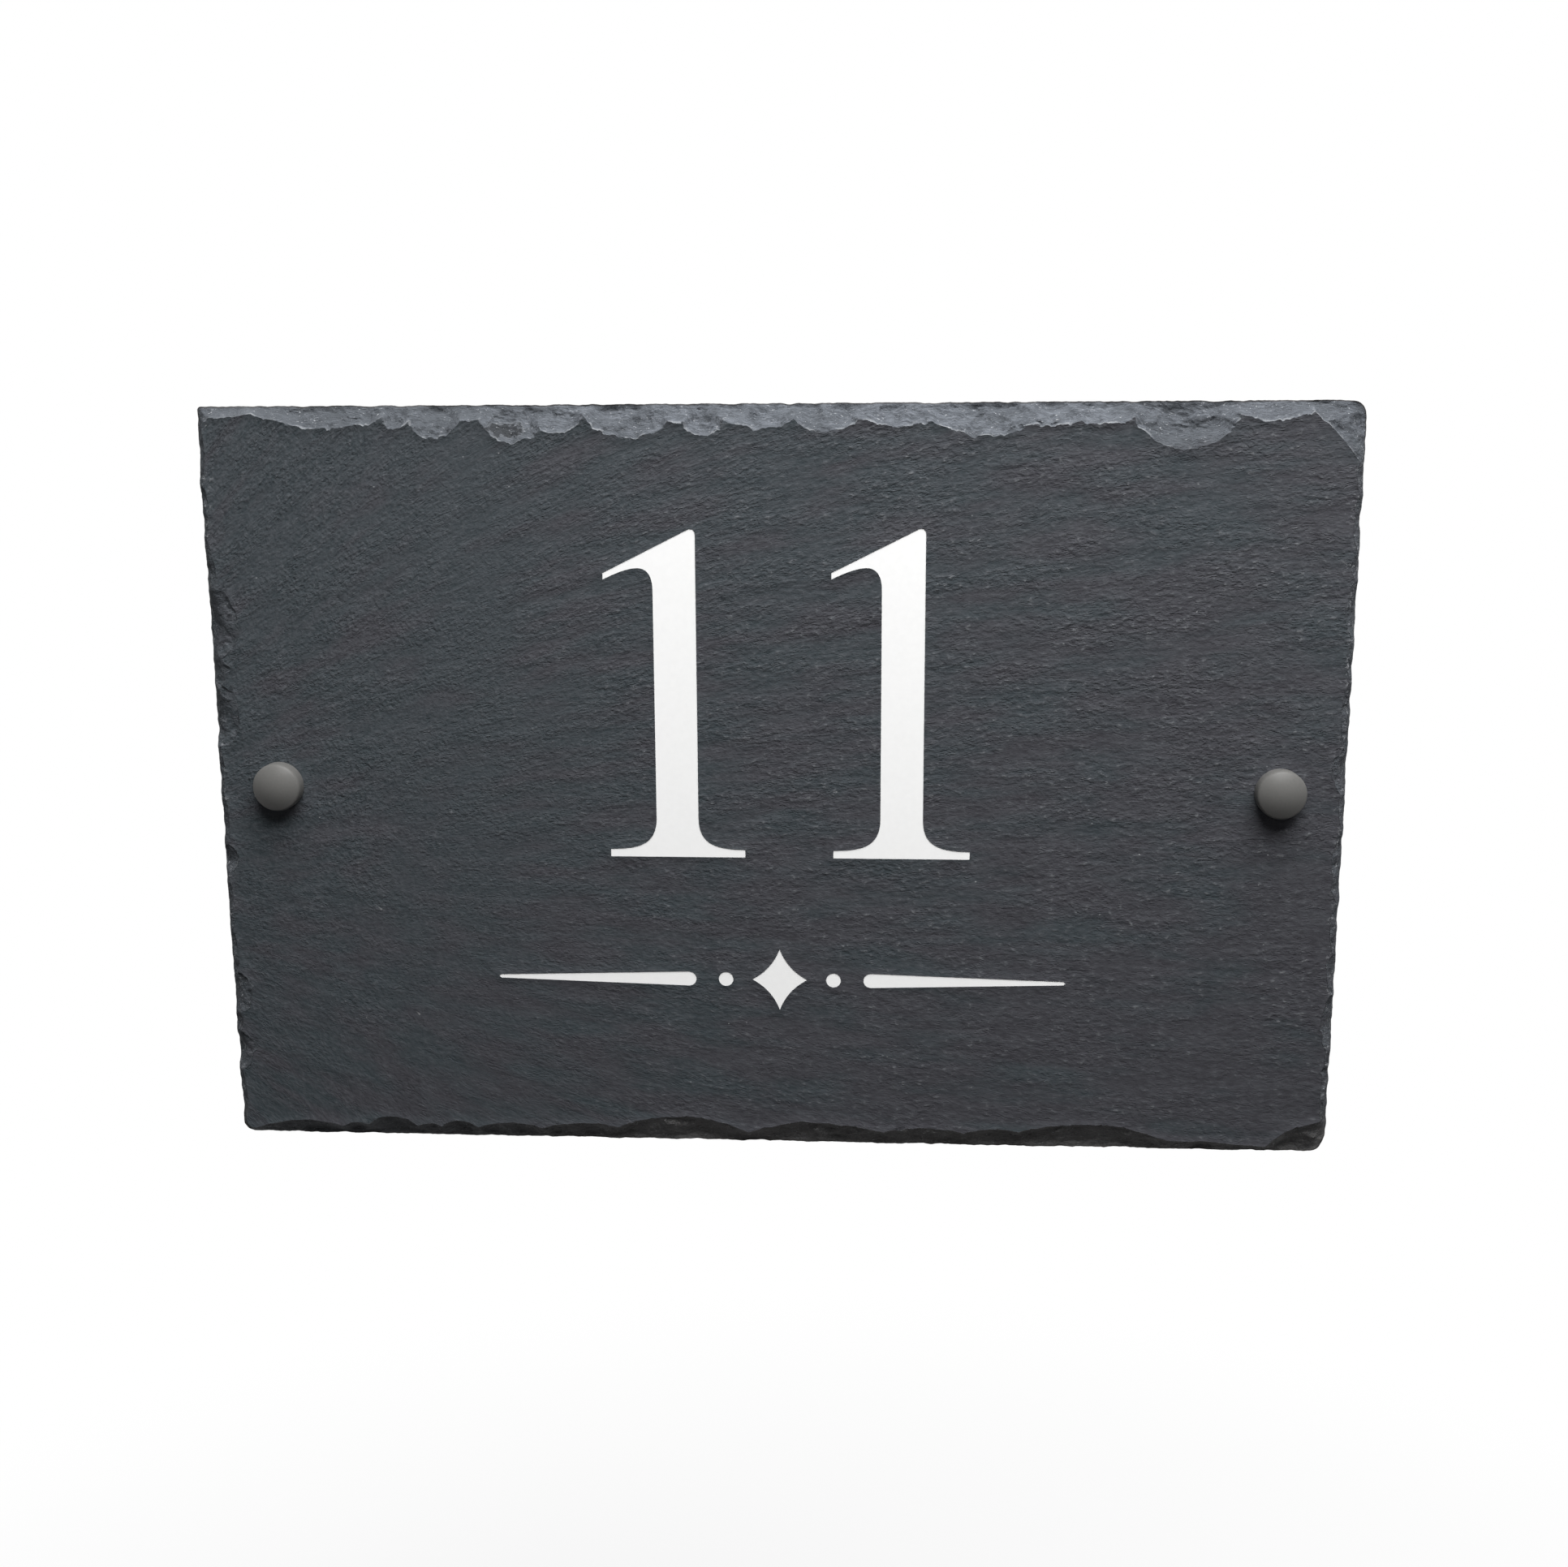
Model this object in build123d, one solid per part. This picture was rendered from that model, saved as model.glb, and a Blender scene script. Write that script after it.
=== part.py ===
from build123d import *
import os
from collections import namedtuple
from itertools import cycle
from math import hypot, sqrt

# House number plaque: a slab of riven slate with chipped front edges, engraved and painted figures,
# and two wood screws under snap caps. Millimetres. X runs to the right, Z runs up, the front faces -Y.
# The origin is the middle of the slab's back face, which lies in the plane Y = 0.

# Slate slab
PLAQUE_W = 300.0
PLAQUE_H = 200.0
SLATE_T = 7.0
EDGE_LAND = 2.5         # square strip left along the back of every edge
HOLLOW_RISE = 1.6       # how far in front of that strip the middle line of the scars lies
HOLLOW_SHARE = 0.5      # how far in that middle line runs, as a share of the scar's depth on the face

# Scars of the flakes struck off each front edge, clockwise: width along the edge, depth on the face,
# and depth at the ridge that follows. A longer edge starts its list again.
TOP_CHIPS = [
    (9.0, 2.6, 2.2), (34.0, 6.0, 3.1), (7.0, 5.6, 4.2), (13.0, 8.2, 4.1), (5.0, 4.2, 3.8),
    (16.0, 9.2, 6.0), (11.5, 7.2, 3.2), (21.5, 9.0, 4.1), (4.0, 4.6, 4.2), (10.0, 8.4, 4.0),
    (18.0, 5.8, 3.5), (16.0, 7.2, 4.1), (19.0, 5.8, 4.8), (23.0, 8.8, 5.2), (14.0, 5.9, 4.6),
    (14.0, 5.2, 3.8), (26.0, 12.0, 3.9), (18.0, 4.6, 4.0),
]
RIGHT_CHIPS = [
    (9.0, 3.0, 2.0), (13.0, 3.4, 1.8), (8.0, 2.8, 1.8), (15.0, 3.6, 2.0), (10.0, 2.6, 1.8),
    (18.0, 3.2, 2.2), (12.0, 4.8, 2.4), (9.0, 2.8, 1.8), (20.0, 3.4, 2.0), (14.0, 3.0, 2.0),
    (11.0, 3.2, 1.8), (16.0, 3.8, 2.2), (20.0, 3.0, 2.0),
]
BOTTOM_CHIPS = [
    (26.0, 3.8, 4.0), (40.0, 8.4, 5.4), (15.0, 6.2, 4.8), (22.0, 6.2, 4.8), (37.0, 7.4, 4.3),
    (36.0, 8.4, 5.0), (21.0, 6.0, 4.3), (18.0, 5.6, 4.0), (10.0, 5.9, 4.0), (7.0, 4.9, 4.2),
    (14.0, 6.8, 4.6), (7.0, 5.0, 3.8), (24.0, 5.2, 4.0),
]
LEFT_CHIPS = [
    (14.0, 3.4, 2.4), (11.0, 5.6, 2.6), (5.0, 3.2, 2.4), (12.0, 6.0, 2.6), (11.0, 3.2, 2.2),
    (17.0, 3.0, 2.2), (8.0, 4.8, 2.4), (14.0, 3.0, 2.0), (13.0, 2.8, 2.2), (16.0, 8.4, 3.6),
    (7.0, 4.8, 3.8), (19.0, 9.0, 3.2), (13.0, 3.6, 2.4), (14.0, 3.4, 2.2), (14.0, 3.0, 2.2),
]
SHORTEST_CHIP = 5.0     # a shorter rest at the end of an edge is taken up by the flake before it
STEEPEST_SCAR = 0.45    # most that a scar bows past the ridges beside it, as a share of its width
FLATTEST_SCAR = 0.05    # a scar that bows less than this is straight
CORNER_RIDGE = 2.8      # depth on the face where a corner's own flake begins and ends

# Corners, clockwise from the top left: radius of the outline, reach of the corner's flake on the face
# along the edge before and the edge after, and how far its line bows outwards.
Corner = namedtuple("Corner", "radius before after bow")
CORNERS = [
    Corner(1.0, 6.0, 7.0, 1.5),
    Corner(4.0, 14.0, 15.0, 0.4),
    Corner(5.0, 10.5, 17.0, -1.5),
    Corner(3.0, 5.0, 6.0, 1.0),
]

# Engraving and its paint
ENGRAVING_DEPTH = 0.8
PAINT_SUNK = 0.1        # the paint's surface lies this much below the face

# Figures, measured from the left edge of the stem and up from the foot
FIGURE_H = 87.4
STEM_W = 11.2
SERIF_REACH = 12.4
SERIF_T = 2.1
BRACKET_H = 10.6        # height at which the bracket has become the stem
BRACKET_EASE = 7.8      # how long the bracket follows its serif
BRACKET_FILL = 1.4      # how far the bracket fills the corner between serif and stem
FLAG_REACH = 13.0
FLAG_DROP = 12.0        # from the top of the figure down to the tip of its flag
FLAG_END_T = 1.7
FLAG_ARCH = 2.9         # rise of the flag's underside above its tip
FLAG_ARCH_REACH = 4.0   # distance of that highest point from the stem
FLAG_ARCH_EASE = 2.6    # how long the arch stays level on either side of that point
FLAG_ARCH_DROP = 5.8    # from that highest point down to where the stem's edge is straight
APEX_R = 1.2
FIGURE_PITCH = 59.4
FIGURES_X = 4.7         # middle of the pair of stems
FIGURES_FOOT_Z = -18.3

# Rule ornament under the figures
ORNAMENT_X = 2.0
ORNAMENT_Z = -52.0
LOZENGE_W = 15.0
LOZENGE_H = 17.0
LOZENGE_HOLLOW = 1.1    # how far each side of the lozenge bows in
DOT_D = 4.0
DOT_X = 14.5
RULE_START_X = 22.5
RULE_LENGTH = 54.0
RULE_HEAD_D = 4.0
RULE_TAIL_D = 1.0

# Fixings
FIXING_INSET = 18.0     # from the ends of the slab
FIXING_RISE = 0.4       # the fixings lie this much above the middle of the slab
SCREW_LENGTH = 40.0
HEAD_D = 8.0
HEAD_RIM = 0.3          # upright rim of the countersunk head
SHANK_D = 2.9
THREAD_D = 4.0
TIP_LENGTH = 4.0
THREAD_START = 0.4      # the thread begins this far behind the slab
RECESS_SPAN = 4.4       # cross recess in the head
RECESS_SLOT = 1.0
RECESS_DEPTH = 1.5
HOLE_CLEARANCE = 1.0    # around the thread, in the slate
BORE_CLEARANCE = 0.15   # around the thread, in the cap's base
SEAT_CLEARANCE = 0.05   # around the head, in the cap's base
BASE_RIM = 1.1          # wall of the base outside the head
BASE_BORE_H = 1.5       # straight bore of the base under the head's seat
LIP_H = 1.2             # lip that the cap snaps over
LIP_OVERHANG = 0.4
LIP_CHAMFER = 0.25
SNAP_CLEARANCE = 0.15
BEAD_H = 0.6
CAP_WALL = 1.1
CAP_CROWN_T = 1.8       # at the middle of the cap
CAP_DOME = 2.2          # rise of the domed face
CAP_CORNER = 0.7        # bevel between the wall and the crown, inside
CAP_EDGE_R = 1.3
CROWN_CLEARANCE = 0.5   # between the screw head and the cap

# Sizes that follow from those above
BACK = 0.0
FRONT = -SLATE_T
FIXING_X = PLAQUE_W / 2 - FIXING_INSET
PAINT_T = ENGRAVING_DEPTH - PAINT_SUNK
HOLE_R = THREAD_D / 2 + HOLE_CLEARANCE
BORE_R = THREAD_D / 2 + BORE_CLEARANCE
SEAT_R = HEAD_D / 2 + SEAT_CLEARANCE
BASE_H = BASE_BORE_H + SEAT_R - BORE_R + HEAD_RIM
CAP_CAVITY_H = BASE_H + CROWN_CLEARANCE
CAP_H = CAP_CAVITY_H + CAP_CROWN_T
LIP_R = SEAT_R + BASE_RIM
NECK_R = LIP_R - LIP_OVERHANG
CAP_CAVITY_R = LIP_R + SNAP_CLEARANCE
CAP_R = CAP_CAVITY_R + CAP_WALL

# Sides of the slab, clockwise seen from the front: first corner, way along, way in, length, flakes
Side = namedtuple("Side", "corner along inward length chips")
LEFT, RIGHT, UP, DOWN = Vector(-1, 0, 0), Vector(1, 0, 0), Vector(0, 0, 1), Vector(0, 0, -1)
HALF_W, HALF_H = PLAQUE_W / 2, PLAQUE_H / 2
SIDES = [
    Side(LEFT * HALF_W + UP * HALF_H, RIGHT, DOWN, PLAQUE_W, TOP_CHIPS),
    Side(RIGHT * HALF_W + UP * HALF_H, DOWN, LEFT, PLAQUE_H, RIGHT_CHIPS),
    Side(RIGHT * HALF_W + DOWN * HALF_H, LEFT, UP, PLAQUE_W, BOTTOM_CHIPS),
    Side(LEFT * HALF_W + DOWN * HALF_H, UP, RIGHT, PLAQUE_H, LEFT_CHIPS),
]


def lay_chips(chips, start, end):
    """Flakes side by side from start to end: where each one stops, its depth, and the ridge after it."""
    run = []
    station, ridge_before = start, CORNER_RIDGE
    for width, scar, ridge in cycle(chips):
        last = end - station - width < SHORTEST_CHIP
        stop = end if last else station + width
        ridge = CORNER_RIDGE if last else ridge
        deepest = (ridge_before + ridge) / 2 + STEEPEST_SCAR * (stop - station)
        run.append((stop, min(scar, deepest), ridge))
        if last:
            return run
        station, ridge_before = stop, ridge


def bowed_edge(start, middle, end):
    """An arc through the three points, or a line where the middle one hardly stands off."""
    if (middle - (start + end) / 2).length < FLATTEST_SCAR:
        return Line(start, end)
    return ThreePointArc(start, middle, end)


def slab_outline(share, y):
    """The slab's outline in the plane y, with its chipped line at this share of its depth on the face."""

    def between(at_outline, on_face):
        return at_outline + (on_face - at_outline) * share

    edges = []
    for side, corner, next_corner in zip(SIDES, CORNERS, CORNERS[1:] + CORNERS[:1]):
        level = side.corner + Vector(0, y, 0)
        chips_start, chips_end = corner.after, side.length - next_corner.before
        corner_depth = side.inward * (share * CORNER_RIDGE)
        here = level + side.along * between(corner.radius, corner.after) + corner_depth
        chip_start = chips_start
        for stop, scar, ridge in lay_chips(side.chips, chips_start, chips_end):
            station = stop
            if stop == chips_end:
                station = side.length - between(next_corner.radius, next_corner.before)
            there = level + side.along * station + side.inward * (share * ridge)
            chip_middle = level + side.along * ((chip_start + stop) / 2) + side.inward * (share * scar)
            edges.append(bowed_edge(here, chip_middle, there) if share else Line(here, there))
            here, chip_start = there, stop

        beyond = level + side.along * (side.length - share * CORNER_RIDGE)
        there = beyond + side.inward * between(next_corner.radius, next_corner.after)
        round_bow = next_corner.radius * (1 - sqrt(0.5))
        outwards = (side.along - side.inward).normalized()
        corner_middle = (here + there) / 2 + outwards * between(round_bow, next_corner.bow)
        edges.append(bowed_edge(here, corner_middle, there))
    return Wire(edges)


def slate_blank():
    """The slab before engraving and drilling: square back strip, hollow scars, flat front."""
    sections = [
        slab_outline(0, BACK),
        slab_outline(0, -EDGE_LAND),
        slab_outline(HOLLOW_SHARE, -EDGE_LAND - HOLLOW_RISE),
        slab_outline(1, FRONT),
    ]
    return loft([Face(wire) for wire in sections], ruled=True)


def figure_one():
    """The figure's face: a stem on a bracketed serif, with a slanted flag at its head."""
    foot_right = STEM_W + SERIF_REACH
    fill_h = SERIF_T + BRACKET_FILL
    flag_tip_h = FIGURE_H - FLAG_DROP
    under_tip = flag_tip_h - FLAG_END_T
    arch_x, arch_h = -FLAG_ARCH_REACH, under_tip + FLAG_ARCH
    arch_foot = arch_h - FLAG_ARCH_DROP
    flag_third_x = (arch_x - 2 * FLAG_REACH) / 3
    edges = [
        Line((-SERIF_REACH, 0), (foot_right, 0)),
        Line((foot_right, 0), (foot_right, SERIF_T)),
        Bezier((foot_right, SERIF_T), (foot_right - BRACKET_EASE, SERIF_T),
               (STEM_W, fill_h), (STEM_W, BRACKET_H)),
        Line((STEM_W, BRACKET_H), (STEM_W, FIGURE_H)),
        Line((STEM_W, FIGURE_H), (-FLAG_REACH, flag_tip_h)),
        Line((-FLAG_REACH, flag_tip_h), (-FLAG_REACH, under_tip)),
        Bezier((-FLAG_REACH, under_tip), (flag_third_x, under_tip + FLAG_ARCH / 2),
               (arch_x - FLAG_ARCH_EASE, arch_h), (arch_x, arch_h)),
        Bezier((arch_x, arch_h), (arch_x + FLAG_ARCH_EASE, arch_h),
               (0, arch_foot + 2 * FLAG_ARCH_DROP / 3), (0, arch_foot)),
        Line((0, arch_foot), (0, BRACKET_H)),
        Bezier((0, BRACKET_H), (0, fill_h), (BRACKET_EASE - SERIF_REACH, SERIF_T), (-SERIF_REACH, SERIF_T)),
        Line((-SERIF_REACH, SERIF_T), (-SERIF_REACH, 0)),
    ]
    face = Face(Wire(edges))
    apex = face.vertices().sort_by(Axis.Y)[-1]
    return face.fillet_2d(APEX_R, [apex])


def lozenge():
    """A four-pointed lozenge whose sides bow in."""
    top, bottom = (0, LOZENGE_H / 2), (0, -LOZENGE_H / 2)
    right, left = (LOZENGE_W / 2, 0), (-LOZENGE_W / 2, 0)
    slant = hypot(LOZENGE_W, LOZENGE_H)
    hollow_x = LOZENGE_W / 4 - LOZENGE_HOLLOW * LOZENGE_H / slant
    hollow_y = LOZENGE_H / 4 - LOZENGE_HOLLOW * LOZENGE_W / slant
    return Face(Wire([
        ThreePointArc(top, (hollow_x, hollow_y), right),
        ThreePointArc(right, (hollow_x, -hollow_y), bottom),
        ThreePointArc(bottom, (-hollow_x, -hollow_y), left),
        ThreePointArc(left, (-hollow_x, hollow_y), top),
    ]))


def dot(side):
    """A round dot beside the lozenge, on the side given as -1 or 1."""
    return Pos(side * DOT_X, 0) * Face(Wire([Edge.make_circle(DOT_D / 2)]))


def tapered_rule(side):
    """A rule that thins from a round head beside the dot to a round tail."""
    head_r, tail_r = RULE_HEAD_D / 2, RULE_TAIL_D / 2
    head_x = side * (RULE_START_X + head_r)
    tail_x = side * (RULE_START_X + RULE_LENGTH - tail_r)
    return Face(Wire([
        Line((head_x, head_r), (tail_x, tail_r)),
        ThreePointArc((tail_x, tail_r), (tail_x + side * tail_r, 0), (tail_x, -tail_r)),
        Line((tail_x, -tail_r), (head_x, -head_r)),
        ThreePointArc((head_x, -head_r), (head_x - side * head_r, 0), (head_x, head_r)),
    ]))


def on_front(x, z):
    """A plane on the slab's front at x and z, facing out."""
    return Plane(origin=(x, FRONT, z), x_dir=(1, 0, 0), z_dir=(0, -1, 0))


def straight_edges(points):
    """Straight edges from point to point of a half profile, each point a radius and a height."""
    places = [(radius, 0, height) for radius, height in points]
    return [Line(a, b) for a, b in zip(places, places[1:])]


def turned(edges, rim=None, rim_r=0):
    """A solid turned about Z from a closed half profile, whose corner at the rim may be rounded."""
    profile = Face(Wire(edges))
    if rim:
        profile = profile.fillet_2d(rim_r, profile.vertices().sort_by_distance(rim)[:1])
    return revolve(profile, Axis.Z)


def wood_screw():
    """Countersunk screw along Z, its head flush with the cap's base and its thread a plain envelope."""
    head_r, shank_r, thread_r = HEAD_D / 2, SHANK_D / 2, THREAD_D / 2
    cone_top = BASE_H - HEAD_RIM
    thread_top = -SLATE_T - THREAD_START
    tip = BASE_H - SCREW_LENGTH
    screw = turned(straight_edges([
        (0, BASE_H), (head_r, BASE_H), (head_r, cone_top), (shank_r, cone_top - head_r + shank_r),
        (shank_r, thread_top), (thread_r, thread_top), (thread_r, tip + TIP_LENGTH), (0, tip), (0, BASE_H),
    ]))
    slots = Box(RECESS_SPAN, RECESS_SLOT, 2 * RECESS_DEPTH) + Box(RECESS_SLOT, RECESS_SPAN, 2 * RECESS_DEPTH)
    return screw - Pos(0, 0, BASE_H) * slots


def cap_base():
    """Cup washer: it seats the screw head, and its lip holds the cap."""
    seat_top = BASE_H - HEAD_RIM
    return turned(straight_edges([
        (BORE_R, 0), (NECK_R, 0), (NECK_R, BASE_H - LIP_H), (LIP_R, BASE_H - LIP_H),
        (LIP_R, BASE_H - LIP_CHAMFER), (LIP_R - LIP_CHAMFER, BASE_H), (SEAT_R, BASE_H),
        (SEAT_R, seat_top), (BORE_R, BASE_BORE_H), (BORE_R, 0),
    ]))


def snap_cap():
    """Hollow domed cap that stands on the slate, with a bead that catches under the base's lip."""
    bead_r = NECK_R + SNAP_CLEARANCE
    bead_top = BASE_H - LIP_H - SNAP_CLEARANCE
    shoulder = CAP_H - CAP_DOME
    dome_r = (CAP_R ** 2 + CAP_DOME ** 2) / (2 * CAP_DOME)
    dome_half_h = CAP_H - dome_r + sqrt(dome_r ** 2 - (CAP_R / 2) ** 2)
    dome = ThreePointArc((CAP_R, 0, shoulder), (CAP_R / 2, 0, dome_half_h), (0, 0, CAP_H))
    walls = straight_edges([
        (0, CAP_H), (0, CAP_CAVITY_H), (CAP_CAVITY_R - CAP_CORNER, CAP_CAVITY_H),
        (CAP_CAVITY_R, CAP_CAVITY_H - CAP_CORNER), (CAP_CAVITY_R, bead_top), (bead_r, bead_top),
        (bead_r, bead_top - BEAD_H), (CAP_CAVITY_R, bead_top - BEAD_H), (CAP_CAVITY_R, 0),
        (CAP_R, 0), (CAP_R, shoulder),
    ])
    return turned(walls + [dome], rim=(CAP_R, 0, shoulder), rim_r=CAP_EDGE_R)


# Shapes cut into the face, each in its own place
first_stem_x = FIGURES_X - FIGURE_PITCH / 2 - STEM_W / 2
ornament_plane = on_front(ORNAMENT_X, ORNAMENT_Z)
engraved = {
    "numeral_left": on_front(first_stem_x, FIGURES_FOOT_Z) * figure_one(),
    "numeral_right": on_front(first_stem_x + FIGURE_PITCH, FIGURES_FOOT_Z) * figure_one(),
    "ornament_centre": ornament_plane * lozenge(),
    "ornament_dot_left": ornament_plane * dot(-1),
    "ornament_dot_right": ornament_plane * dot(1),
    "ornament_rule_left": ornament_plane * tapered_rule(-1),
    "ornament_rule_right": ornament_plane * tapered_rule(1),
}

# Every pocket is cut to the engraving's depth, and its paint lies on its floor
pieces = {}
slate = slate_blank()
for name, face in engraved.items():
    slate -= extrude(face, amount=ENGRAVING_DEPTH, dir=(0, 1, 0))
    floor = Pos(0, ENGRAVING_DEPTH, 0) * face
    pieces[name] = extrude(floor, amount=PAINT_T, dir=(0, -1, 0))

# Each fixing goes through a hole of its own
for name, side in (("left", -1), ("right", 1)):
    plane = on_front(side * FIXING_X, FIXING_RISE)
    slate -= extrude(plane * Circle(HOLE_R), amount=SLATE_T, dir=(0, 1, 0))
    pieces["screw_" + name] = plane * wood_screw()
    pieces["cap_base_" + name] = plane * cap_base()
    pieces["cap_" + name] = plane * snap_cap()
pieces["slate_plaque"] = slate

os.makedirs("parts", exist_ok=True)
for name, piece in pieces.items():
    solids = piece.solids()
    export_step(solids[0] if len(solids) == 1 else Compound(solids), f"parts/{name}.step")
    print(name, len(solids), round(piece.volume, 2))
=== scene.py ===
from math import asin, cos, pi, radians, sin, sqrt, tau

import bmesh
import bpy
import numpy as np
from mathutils import Matrix, Vector, geometry, kdtree, noise


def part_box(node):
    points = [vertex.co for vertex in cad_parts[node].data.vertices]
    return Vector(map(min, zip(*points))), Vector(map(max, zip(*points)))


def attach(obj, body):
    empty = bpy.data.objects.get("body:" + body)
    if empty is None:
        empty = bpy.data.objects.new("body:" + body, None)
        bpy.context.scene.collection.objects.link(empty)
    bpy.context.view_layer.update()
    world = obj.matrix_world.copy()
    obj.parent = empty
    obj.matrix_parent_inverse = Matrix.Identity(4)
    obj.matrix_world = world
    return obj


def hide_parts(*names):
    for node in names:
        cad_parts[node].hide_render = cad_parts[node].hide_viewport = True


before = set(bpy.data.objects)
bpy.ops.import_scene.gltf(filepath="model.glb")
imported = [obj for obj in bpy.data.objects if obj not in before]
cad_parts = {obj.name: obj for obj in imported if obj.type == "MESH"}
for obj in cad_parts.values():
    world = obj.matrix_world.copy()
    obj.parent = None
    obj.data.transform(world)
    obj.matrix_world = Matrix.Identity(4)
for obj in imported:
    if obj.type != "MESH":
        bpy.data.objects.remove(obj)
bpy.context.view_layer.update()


# Slate slab
# One leaf of natural slate, split along its cleavage, so its face is streaked by the grain. Its front
# edges are dressed with a hammer, which leaves flake scars, and the figures are cut into its face.

MM = 0.001
SLATE_SEED = 19
FACE_STEP, FACE_ROWS = 2.0, 0.9    # spacing of the mesh along and across the grain, in millimetres
SCAR_STEP = 0.38
BACK_STEP = 2.8
POCKET_STEP = 0.9
HOLE_STEP = 0.6
BITE_STEP = 0.3
LAND_ROWS = 4           # rows of faces across the edge strip
SHARP_TURN = radians(25)
SHARP_CREASE = radians(38)

OUTLINE_WANDER = 0.55   # how far the broken outline comes in from the straight edge
OUTLINE_WAVE = 9.0
BROW_WARPS = ((1.1, 15.0), (0.7, 5.0))  # reach and size of the bends in the line where the scars begin
BROW_BITES = ((5.5, 5.0, 0.9), (2.4, 2.4, 0.7), (1.0, 1.0, 0.35))  # pitch, length and depth of its bites
BROW_ROOM = 6.0         # where that line lies nearer to the edge than this, it strays less
BROW_MARGIN = 0.7       # and it never comes nearer than this
FOOT_SHARE = 0.4        # along the foot it strays this share as far
FOOT_RISE = 14.0
CAP_REACH = 6.6         # the face is flat this far around a screw hole, where a cap stands
CALM_REACH = 2.2        # and it settles over this distance around caps and engraving
FAR_OFF = 9.0           # distance given to points that no scar reaches

slate_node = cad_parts["slate_plaque"]
slate_low, slate_high = (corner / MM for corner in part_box("slate_plaque"))
SLATE_T = slate_high.y - slate_low.y


def merged_copy(node):
    """A node's solid as a welded mesh of its own, in metres."""
    solid = bmesh.new()
    solid.from_mesh(node.data)
    bmesh.ops.remove_doubles(solid, verts=solid.verts, dist=0.001 * MM)
    return solid


def flat_loops(solid, depth, facing):
    """Outlines of the faces flat at this depth that face this way along Y, longest first.

    Each is anticlockwise and starts at its lowest point, so that every run gives the same ones.
    """
    flat = {face for face in solid.faces if face.normal.y * facing > 0.99
            and abs(face.calc_center_median().y / MM - depth) < 0.01}
    neighbours = {}
    for edge in solid.edges:
        if len(flat.intersection(edge.link_faces)) == 1:
            for one, other in (edge.verts, reversed(edge.verts)):
                neighbours.setdefault(one, []).append(other)
    loops = []
    while neighbours:
        start = next(iter(neighbours))
        loop, before, here = [start], start, neighbours[start][0]
        while here is not start:
            loop.append(here)
            before, here = here, next(v for v in neighbours[here] if v is not before)
        for vertex in loop:
            del neighbours[vertex]
        points = np.array([(v.co.x / MM, v.co.z / MM) for v in loop])
        ahead = np.roll(points, -1, axis=0)
        area = (points[:, 0] * ahead[:, 1] - points[:, 1] * ahead[:, 0]).sum()
        points = points if area > 0 else points[::-1]
        first = np.lexsort(points.round(2).T)[0]
        loops.append(np.roll(points, -first, axis=0))
    return sorted(loops, key=lambda loop: (-np.ptp(loop, axis=0).sum().round(2), loop[0, 0]))


def evenly(loop, step):
    """The loop with its points about a step apart and its corners kept."""
    count = len(loop)
    ahead = np.roll(loop, -1, axis=0) - loop
    heading = np.arctan2(ahead[:, 1], ahead[:, 0])
    turn = np.abs((heading - np.roll(heading, 1) + pi) % tau - pi)
    corners = np.flatnonzero(turn > SHARP_TURN)
    if not len(corners):
        corners = np.array([0])
    runs = []
    for first, last in zip(corners, np.append(corners[1:], corners[0] + count)):
        run = loop[np.arange(first, last + 1) % count]
        along = np.append(0, np.hypot(*np.diff(run, axis=0).T).cumsum())
        stations = np.linspace(0, along[-1], max(1, round(along[-1] / step)), endpoint=False)
        runs.append(np.column_stack([np.interp(stations, along, run[:, axis]) for axis in (0, 1)]))
    return np.concatenate(runs)


def inward_of(loop):
    """Unit vectors that point into the loop at each of its points."""
    way = np.roll(loop, -1, axis=0) - np.roll(loop, 1, axis=0)
    return np.column_stack([-way[:, 1], way[:, 0]]) / np.hypot(*way.T)[:, None]


def wander(points, size, seed):
    """Noise between -1 and 1 at the points, with waves about this long and finer ones on them."""
    return np.array([noise.fractal((x / size, z / size, seed), 0.9, 2.1, 4) for x, z in points])


def nearest_on(points, loop, step=0.12):
    """Where the loop comes nearest to each point: the place on it, and the way inwards there."""
    dense = evenly(loop, step)
    tree = kdtree.KDTree(len(dense))
    for index, (x, z) in enumerate(dense):
        tree.insert((x, z, 0), index)
    tree.balance()
    nearest = np.array([tree.find((x, z, 0))[1] for x, z in points], int)
    return dense[nearest], inward_of(dense)[nearest]


def inside(points, loop):
    """Which of the points lie inside the loop, by counting its edges to the right of each."""
    order = np.argsort(points[:, 1])
    x, z = points[order].T
    crossed = np.zeros(len(points), int)
    for (x0, z0), (x1, z1) in zip(loop, np.roll(loop, -1, axis=0)):
        first, last = np.searchsorted(z, sorted((z0, z1)))
        if first < last:
            beside = slice(first, last)
            crossed[beside] += x[beside] < x0 + (z[beside] - z0) * (x1 - x0) / (z1 - z0)
    within = np.empty(len(points), bool)
    within[order] = crossed % 2 == 1
    return within


def depth_in(points, loop, step=0.12):
    """How far inside the loop the points lie, below zero for those outside."""
    gap = np.hypot(*(points - nearest_on(points, loop, step)[0]).T)
    return np.where(inside(points, loop), gap, -gap)


def kept_inside(points, loop, margin):
    """The points, with those that lie less than a margin inside the loop drawn in to it."""
    place, way_in = nearest_on(points, loop)
    near = depth_in(points, loop) < margin
    return np.where(near[:, None], place + way_in * margin, points)


def edge_gap(points):
    """How far the points lie inside the slab's rectangle."""
    low, high = np.array([slate_low.x, slate_low.z]), np.array([slate_high.x, slate_high.z])
    return np.minimum(points - low, high - points).min(axis=1)


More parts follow.
